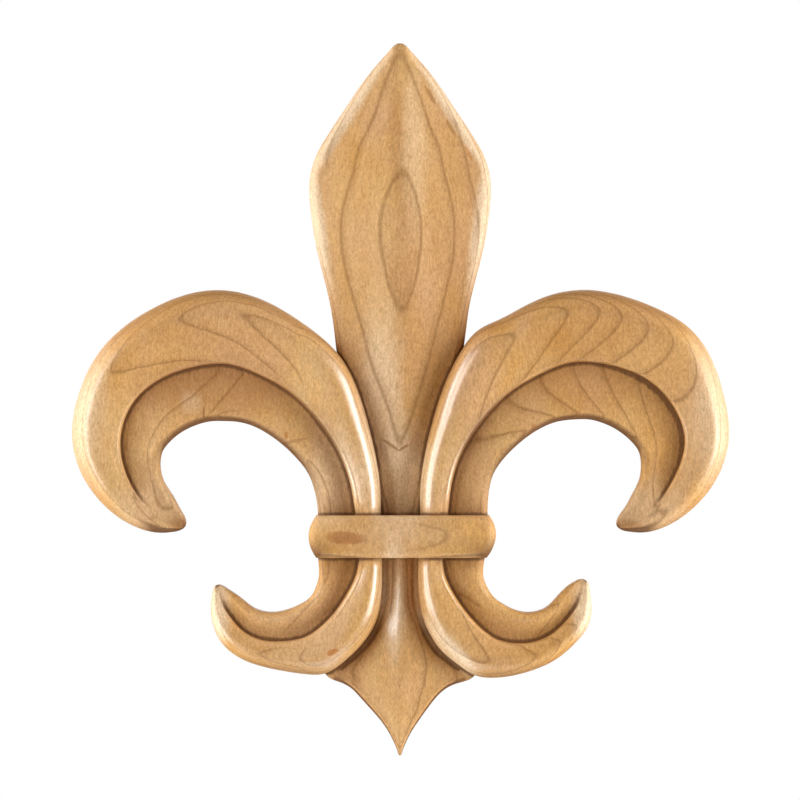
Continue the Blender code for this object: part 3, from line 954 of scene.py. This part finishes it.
finish = {
    "woodIndex": 1.5,
    "roughness": 0.46,  # of polished wood
    "dullByCloud": 0.08,
    "dullByGrain": 0.2,
    "unpolished": 0.2,
    "coat": 1.0,
    "coatRoughness": 0.27,
    "coatIndex": 2.0,
    "polishEdge": (-0.25, -1.1),  # measured the same way, where polish begins and is full
    "polishRagged": 0.5,
    "curlEdge": (24.5, 27.0),  # inside the two curls the wood was left dull
    "dullingEdge": (0.6, 1.1),
    "polishingEdge": (1.1, 0.7),
    "polishingRagged": 0.4,
    "polishingShare": 0.8,
    "bumpStrength": 0.35,
    "bumpDepth": 0.06,
    "bumpByGrain": 1.5,
    "bumpByRing": 0.5,
    "bumpByChatter": 4.0,
    "chatterFar": (2.6, 1.6),  # chatter marks lie beside a crease, between these distances
    "chatterNear": (0.3, 0.9),
}
spots = (  # small marks in the wood, and thin lines of painted shade under the band: x, z, half width, half height, turn in degrees, colour, strength
    (-13.7, -34.5, 3.8, 1.6, -3, "stain", 0.7),
    (-15.7, -34.3, 2.9, 1.5, -3, "umberAndShade", 0.55),
    (-11.6, -34.6, 2.9, 1.4, -3, "umberAndShade", 0.55),
    # thin lines of painted shade under the band
    (-14.5, -39.1, 6.5, 0.34, -4, "seamShade", 0.5),
    (14.5, -39, 7, 0.34, 3, "seamShade", 0.5),
    (-24.9, -53.7, 0.3, 7.1, -43, "ring", 0.35),
    (-16.7, -63, 1.5, 0.7, 25, "stain", 0.85),
    (-49, -3.2, 0.35, 1.4, 0, "ring", 0.6),
    (-28.4, -9, 0.5, 0.9, 0, "stain", 0.6),
    (7.6, 76, 0.5, 2.4, 28, "ring", 0.45),
    (12.6, 68, 0.45, 2.2, 30, "ring", 0.45),
    (17.2, 61.4, 0.45, 2, 24, "stain", 0.5),
    (33.4, -6.6, 0.7, 0.6, 0, "stain", 0.5),
    (-2.4, -11.3, 2.6, 0.36, -34, "umberAndShade", 0.7),
    (0.8, -12.1, 1.5, 0.34, 30, "umberAndShade", 0.7),
    (-43.2, 20.6, 0.5, 0.5, 0, "stain", 0.5),
    (-42.9, 1.9, 0.36, 7.2, -40, "ring", 0.5),
    (-27, -10.5, 3.6, 0.42, 12, "ring", 0.4),
)
clearings = (  # where no ring line shows: x, z, half width, half height, turn
    (-30, -2, 13, 8, -25),
    (-23, 52, 5, 17, 0),
    (-31, -55.5, 15, 7, -8),
    (28, -54, 9.5, 6, 10),
    (46, -49, 4.5, 8, 0),
)
dullings = (  # where the polish stopped short of an edge
    (0, -39.1, 25, 0.9, 0),
)
polishings = (  # where a hollow was polished too
    (-1.5, -52.5, 2.2, 9, 3),
)
wipings = (  # where less glaze and painted shade is laid, written the same way
    (0, -47, 8, 16, 0),
    (0, -21, 7, 9, 0),
)
patches = (  # wide soft changes of tone, written the same way as the spots; most are painted highlight and painted shade, the honey ones the wood's own tone
    (15, 42, 7.5, 34, 0, "umberAndShade", 0.3),
    (-17, -34.2, 8, 8, 0, "honey", 0.6),
    (18, -34.2, 6.5, 8, 0, "honey", 0.5),
    # painted light on the blade's lower left flank and stem, painted shade on its lower right flank
    (-5, 0, 5, 22, 0, "litAndRubbed", 0.6),
    (9, 5, 4.5, 16, 8, "umberAndShade", 0.25),
    (0, -19, 7, 12, 0, "litAndRubbed", 0.7),
    # painted highlight on the tongue's left facet, painted shade on its right facet
    (-1.6, -49, 3, 12, 0, "litAndRubbed", 0.95),
    (3.4, -49, 2.2, 9, 0, "umberAndShade", 0.25),
    # painted shade on the tops of the rolls and coves over the curls
    (-47, 3, 17, 6.5, 0, "umberAndShade", 0.55),
    (47, 3, 17, 6.5, 0, "umberAndShade", 0.28),
    (-50, 18, 20, 8, -12, "umberAndShade", 0.28),
    (50, 18, 20, 8, 12, "umberAndShade", 0.36),
    # painted highlight on the outer edges
    (-85, 2, 10, 24, 0, "litAndRubbed", 0.8),
    (85, 2, 10, 24, 0, "litAndRubbed", 0.8),
    (36, -57, 17, 14, 0, "honey", 0.5),
    (-52.2, -0.6, 2.4, 2.4, 0, "litAndRubbed", 0.3),
    (60, 6, 16, 26, 0, "honey", 0.25),
    # painted highlight on the bevelled edges of the blade
    (-13.8, 70.2, 1.7, 19, -32, "litAndRubbed", 0.95),
    (-20.9, 45, 1.9, 18, 8, "litAndRubbed", 0.95),
    (13.9, 70.2, 1.5, 19, 32, "litAndRubbed", 0.95),
    (20.6, 45, 2.1, 18, -8, "litAndRubbed", 0.95),
    # painted shade along the blade's ridge, painted light beside it
    (-1.2, 67, 1.7, 15, 0, "umberAndShade", 0.35),
    (3.4, 62, 2.6, 20, 0, "litAndRubbed", 0.3),
    # painted highlight on the outer edges of the lower leaves and on the bevel by the tongue
    (-46.8, -53.5, 3.6, 9, 0, "litAndRubbed", 0.95),
    (47.4, -53, 3.6, 9, 0, "litAndRubbed", 0.95),
    (12.8, -62.5, 2, 10, 42, "litAndRubbed", 0.9),
    # painted shade along the blade's ridge
    (1, 34, 3.5, 24, 0, "umberAndShade", 0.32),
    # lighter on the left roll by the band and on the lower ends of the upper leaves
    (-17, -20, 7, 11, -12, "litAndRubbed", 0.45),
    (-60, -27, 10, 6, 0, "litAndRubbed", 0.32),
    (60, -27, 10, 6, 0, "litAndRubbed", 0.32),
    # darker at the tips of the upper leaves
    (-54.5, -31.2, 2.6, 1.6, 0, "umberAndShade", 0.6),
    (57, -31.6, 3.2, 1.4, 0, "umberAndShade", 0.6),
)


def readStored(g, name):
    return g.node("ShaderNodeAttribute", {"attribute_name": name}, {}, out="Fac")


def pattern(g, place, name, shift=None):
    across, along, detail, roughness = grainPatterns[name]
    local = g.vectors("MULTIPLY", place, (1.0 / across, 1.0 / across, 1.0 / along))
    if shift:
        local = g.vectors("ADD", local, shift)
    return g.noise(local, 1.0, detail=detail, roughness=roughness)


def awayFrom(g, place, x, z, half, tall, turn):
    # How far from the middle of a mark, 1 at its edge.
    local = g.node("ShaderNodeMapping", {"vector_type": "TEXTURE"}, {
        "Vector": place,
        "Location": (x, 0.0, z),
        "Rotation": (0.0, -math.radians(turn), 0.0),
        "Scale": (half, markDepth, tall),
    })
    return g.vectors("LENGTH", local, out="Value")


def marked(g, place, tone, marks, ragged, soft, front):
    for x, z, half, tall, turn, tint, strength in marks:
        away = awayFrom(g, place, x, z, half, tall, turn) + ragged
        share = g.smooth(away, 1.0 + soft, 1.0 - soft) * strength * front
        tone = g.blend(share, tone, woodColours[tint])
    return tone


def ringLines(g, depth, onLeft, onFoot, onBand):
    # A sharp thin line at each ring that fades out towards the next, 0 to 1.
    on = growthRings
    width = on["lineRight"] + onLeft * (on["lineLeft"] - on["lineRight"])
    width = width * (1.0 - onFoot * (1.0 - on["footSpread"])) * (1.0 - onBand * on["bandNarrow"])
    found = None
    for right, left in on["lines"]:
        past = (depth - (right + onLeft * (left - right))) / width
        shade = 1.0 - g.smooth(past, 1.0, on["sharpTo"]) * (1.0 - on["fadeShade"])
        line = g.smooth(past, -1.0, 1.0) * shade * g.smooth(past, on["fade"], on["sharpTo"])
        found = line if found is None else g.maths("MAXIMUM", found, line)
    return found


def cutRings(g, place, front):
    # Growth rings as curved layers through the board: depth below them, and their lines, 0 to 1.
    on = growthRings
    x, y, z = g.split(place)
    height = -y
    bow = on["bowRight"] + (x < 0.0) * (on["bowLeft"] - on["bowRight"])
    drift = pattern(g, place, "drift") * on["drift"]
    wobble = pattern(g, place, "wobble") * on["wobble"]
    depth = height - x * x * bow + drift + wobble
    footDepth = (depth + x * on["footTilt"] - on["footFrom"]) * on["footSpread"] + on["footLevel"]
    slanted = g.maths("ABSOLUTE", x) + z * on["footSlope"]
    onFoot = g.smooth(slanted, *on["footSides"]) * g.smooth(z, *on["footTop"])
    onLeft = g.smooth(x, *on["leftLeaves"])
    onBand = g.smooth(height, *on["bandHeight"])
    line = ringLines(g, depth + onFoot * (footDepth - depth), onLeft, onFoot, onBand)
    line = line * (1.0 - onBand * (1.0 - g.smooth(x, *on["bandShows"]) * on["bandShare"]))
    for clearing in clearings:
        line = line * (1.0 - g.smooth(awayFrom(g, place, *clearing), *on["clearEdge"]) * front)
    return depth, line


def woodToneWithPaintedLight(g, place, depth, line, cloud, grain, front):
    # The wood's colour, with its rings and spots, and patches that are partly its own tone and partly
    # painted highlight and painted shade.
    on = toneShares
    season = g.noise(depth, growthRings["seasonSize"], detail=2.0, dimensions="1D")
    broad = pattern(g, place, "broad")
    blush = pattern(g, place, "blush", blushShift)
    honey = on["honey"] + broad * on["honeyByBroad"]
    honey = honey + season * on["honeyBySeason"] + cloud * on["honeyByCloud"]
    tone = g.blend(g.clamp(honey), woodColours["pale"], woodColours["honey"])
    tone = g.blend(g.clamp(on["rosy"] + blush * on["rosyByBlush"]), tone, woodColours["rosy"])
    tone = marked(g, place, tone, patches, cloud * on["patchRagged"], on["patchSoft"], front)
    tone = g.blend(g.clamp(line * growthRings["strength"]), tone, woodColours["ring"])
    ragged = cloud * on["spotByCloud"] + grain * on["spotByGrain"]
    return marked(g, place, tone, spots, ragged, on["spotSoft"], front)


def glazedAndShadedTone(g, place, tone, ragged, front):
    # Glaze and painted shade left in the creases and hollows and under the rims of the curls; the crests
    # lighter, as wear and painted highlight.
    on = glazingAndShading
    x, _, z = g.split(place)
    crease, creaseDepth = readStored(g, "crease"), readStored(g, "creaseDepth")
    inCrease = g.smooth(crease + ragged * on["creaseRagged"], *on["creaseEdge"]) * creaseDepth
    spread = g.smooth(x, *on["curlAcross"]) * g.smooth(z, *on["curlHeight"]) * on["curlSpread"]
    # the seam of painted shade: a dark line along the deep creases, with the glaze held there
    seamShade = g.smooth(crease + ragged * (on["seamShadeRagged"] + spread) - spread, *on["seamShadeEdge"])
    seamShade = seamShade * creaseDepth * on["seamShadeShare"]
    inHollow = g.smooth(readStored(g, "hollow") + ragged, *on["hollowEdge"])
    # glaze and painted shade, deeper in the creases and hollows
    glazeAndShade = inCrease * on["creaseShare"] + inHollow * on["hollowShare"]
    glazeAndShade = g.maths("MINIMUM", glazeAndShade, on["most"]) * front
    for wiping in wipings:
        kept = g.smooth(awayFrom(g, place, *wiping), *on["wipedEdge"])
        glazeAndShade = glazeAndShade * kept
        seamShade = seamShade * (on["wipedSeamShade"] + kept * (1.0 - on["wipedSeamShade"]))
    # crests painted lighter, as wear and painted highlight
    litAndRubbed = g.smooth(readStored(g, "notch"), *on["litAndRubbedEdge"]) * front
    # painted shade along the seams and on the lower side of the rims over the curls
    dark = g.maths("MAXIMUM", seamShade, readStored(g, "under") * on["underShadeShare"]) * front
    tone = g.blend(litAndRubbed * on["litAndRubbedShare"], tone, woodColours["litAndRubbed"])
    tone = g.blend(glazeAndShade, tone, woodColours["glazeAndShade"])
    return g.blend(dark, tone, woodColours["seamShade"])


def speckled(g, tone, grain, fleck):
    # The finest light and dark specks of the grain.
    on = toneShares
    speck = grain * on["speckByGrain"] + fleck * on["speckByFleck"] + on["speckLift"]
    return g.vectors("MULTIPLY", tone, g.combine(*[1.0 + speck * share for share in on["speckColours"]]))


def polishShare(g, place, ragged):
    # Satin on the crests, duller where the polish didn't reach, 0 to 1.
    x, _, z = g.split(place)
    across = g.combine(g.maths("ABSOLUTE", x), 0.0, z)
    middle = (curlMiddle["across"], 0.0, curlMiddle["height"])
    fromCurl = g.vectors("DISTANCE", across, middle, out="Value")
    raised = g.smooth(readStored(g, "hollow") + ragged * finish["polishRagged"], *finish["polishEdge"])
    polish = raised * g.smooth(fromCurl, *finish["curlEdge"])
    for dulling in dullings:
        polish = polish * g.smooth(awayFrom(g, place, *dulling), *finish["dullingEdge"])
    for polishing in polishings:
        away = awayFrom(g, place, *polishing) + ragged * finish["polishingRagged"]
        extra = g.smooth(away, *finish["polishingEdge"]) * finish["polishingShare"]
        polish = g.maths("MAXIMUM", polish, extra)
    return polish


def woodMaterial():
    material = bpy.data.materials.new("carvedWood")
    material.use_nodes = True
    material.node_tree.nodes.clear()
    g = Graph(material.node_tree)
    place = g.scaled(g.node("ShaderNodeTexCoord", out="Object"), 1.0 / mm)
    front = g.smooth(-g.split(place)[1], *frontHeights["colour"])
    cloud, grain, fleck = (pattern(g, place, name) for name in ("cloud", "grain", "fleck"))
    ragged = cloud * glazingAndShading["byCloud"] + grain * glazingAndShading["byGrain"]
    depth, line = cutRings(g, place, front)
    tone = woodToneWithPaintedLight(g, place, depth, line, cloud, grain, front)
    tone = glazedAndShadedTone(g, place, tone, ragged, front)
    tone = speckled(g, tone, grain, fleck)
    polish = polishShare(g, place, ragged)
    shine = finish["roughness"] + cloud * finish["dullByCloud"] + grain * finish["dullByGrain"]
    shine = shine + (1.0 - polish) * finish["unpolished"]
    crease = readStored(g, "crease")
    beside = g.smooth(crease, *finish["chatterFar"]) * g.smooth(crease, *finish["chatterNear"])
    chatter = pattern(g, place, "chatter") * beside
    raised = grain * finish["bumpByGrain"] + fleck - line * finish["bumpByRing"]
    bump = g.node("ShaderNodeBump", {}, {
        "Strength": finish["bumpStrength"],
        "Distance": finish["bumpDepth"] * mm,
        "Height": raised + chatter * finish["bumpByChatter"],
    })
    shader = g.node("ShaderNodeBsdfPrincipled", {}, {
        "Base Color": tone,
        "Roughness": shine,
        "Metallic": 0.0,
        "IOR": finish["woodIndex"],
        "Coat Weight": finish["coat"] * polish,
        "Coat Roughness": finish["coatRoughness"],
        "Coat IOR": finish["coatIndex"],
        "Normal": bump,
    })
    g.node("ShaderNodeOutputMaterial", {}, {"Surface": shader})
    return material


# Making the piece

def makeCarving():
    wood = woodMaterial()
    print("leaves: sweeping")
    leaves = makeLeaves(wood)
    print("blade, tongue and band: lofting")
    carving = loft("carving", bandSections(), wood)
    others = [loft("bladeForm", bladeSections(), wood), loft("tongueForm", tongueSections(), wood)]
    others += leaves
    print("forms: joining", [len(o.data.polygons) for o in [carving] + others])
    joinForms(carving, others)
    writePoints(carving.data, cutByHand(readPoints(carving.data)))
    print("carving: marking creases and hollows")
    markRelief(carving.data)
    values = {name: size * mm for name, size in finishSizes.items()}
    values.update({"Seed": finishSeed, "Wood": wood})
    runTree(carving, finishTree(), values)
    fitInside(carving.data)
    carving.data.shade_smooth()
    carving.data.set_sharp_from_angle(angle=math.radians(sharpFrom))
    print("carving:", len(carving.data.vertices), "points")
    return carving


def fitInside(mesh):
    # The fine cut stays within the solid's own box.
    points = readPoints(mesh)
    low, high = (np.array(corner) / mm for corner in cadBox)
    writePoints(mesh, np.clip(points, low, high))


carving = makeCarving()
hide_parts(cadNode)
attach(carving, "root")


# The studio

studio = {
    "cameraAway": 3.0,  # metres
    "frameWidth": 0.2,
    "sensor": 36.0,
    "focusHeight": 8.0,
    "imageCentre": (0.0, -0.125),  # in millimetres, as is the height in focus
    "farthest": 100.0,
    "floorDrop": 0.8,
    "floorRadius": 0.7,
    "floorSides": 96,
    "floorColour": (0.82, 0.82, 0.81, 1.0),
    "floorRoughness": 0.7,
}
lights = {  # azimuth off the front, elevation, distance, width, height in metres, power in watts
    "keyLeft": (-52.0, 0.0, 1.0, 0.40, 1.1, 6.6),
    "keyRight": (66.0, 0.0, 1.0, 0.50, 1.1, 8.0),
    "front": (-8.0, 0.0, 2.0, 1.2, 1.2, 1.2),
    "sideLeft": (-88.0, 4.0, 0.9, 0.6, 1.0, 11.0),
    "sideRight": (88.0, 4.0, 0.9, 0.6, 1.0, 10.5),
    "top": (0.0, 60.0, 1.0, 1.0, 0.5, 0.5),
    "back": (180.0, 20.0, 1.6, 1.4, 1.0, 14.0),
}
surround = {"seen": 1.0, "lighting": (0.10, 0.045, 0.015)}  # a little warm light from all round


def makeCamera():
    camera = addObject("camera", bpy.data.cameras.new("camera"))
    away = studio["cameraAway"]
    camera.data.sensor_width = studio["sensor"]
    camera.data.lens = studio["sensor"] * away / studio["frameWidth"]
    x, z = studio["imageCentre"]
    camera.location = (x * mm, -away - studio["focusHeight"] * mm, z * mm)
    camera.rotation_euler = (math.radians(90.0), 0.0, 0.0)
    camera.data.clip_end = studio["farthest"]
    bpy.context.scene.camera = camera


def makeLight(name, azimuth, elevation, away, width, height, power):
    data = bpy.data.lights.new(name, "AREA")
    data.shape = "RECTANGLE"
    data.size, data.size_y, data.energy = width, height, power
    light = addObject(name, data)
    a, e = math.radians(azimuth), math.radians(elevation)
    place = Vector((math.sin(a) * math.cos(e), -math.cos(a) * math.cos(e), math.sin(e))) * away
    light.location = place
    light.visible_camera = False
    light.rotation_mode = "QUATERNION"
    light.rotation_quaternion = (-place).to_track_quat("-Z", "Y")


def makeSurround():
    world = bpy.data.worlds.new("studio")
    bpy.context.scene.world = world
    world.use_nodes = True
    world.node_tree.nodes.clear()
    g = Graph(world.node_tree)
    seen = g.node("ShaderNodeLightPath", out="Is Camera Ray")
    shade = g.blend(seen, (*surround["lighting"], 1.0), (surround["seen"],) * 3 + (1.0,))
    sky = g.node("ShaderNodeBackground", {}, {"Color": shade, "Strength": 1.0})
    g.node("ShaderNodeOutputWorld", {}, {"Surface": sky})
    bpy.context.scene.view_settings.view_transform = "Standard"


def makeFloor():
    mesh = bpy.data.meshes.new("studioFloor")
    body = bmesh.new()
    bmesh.ops.create_circle(
        body, cap_ends=True, segments=studio["floorSides"], radius=studio["floorRadius"])
    for vert in body.verts:
        vert.co.z = -studio["floorDrop"]
    body.to_mesh(mesh)
    body.free()
    material = bpy.data.materials.new("paleFloor")
    material.use_nodes = True
    shader = material.node_tree.nodes["Principled BSDF"]
    shader.inputs["Base Color"].default_value = studio["floorColour"]
    shader.inputs["Roughness"].default_value = studio["floorRoughness"]
    mesh.materials.append(material)
    addObject("studioFloor", mesh)


makeCamera()
for name, values in lights.items():
    makeLight(name, *values)
makeSurround()
makeFloor()
print("studio: camera, lights and floor set")
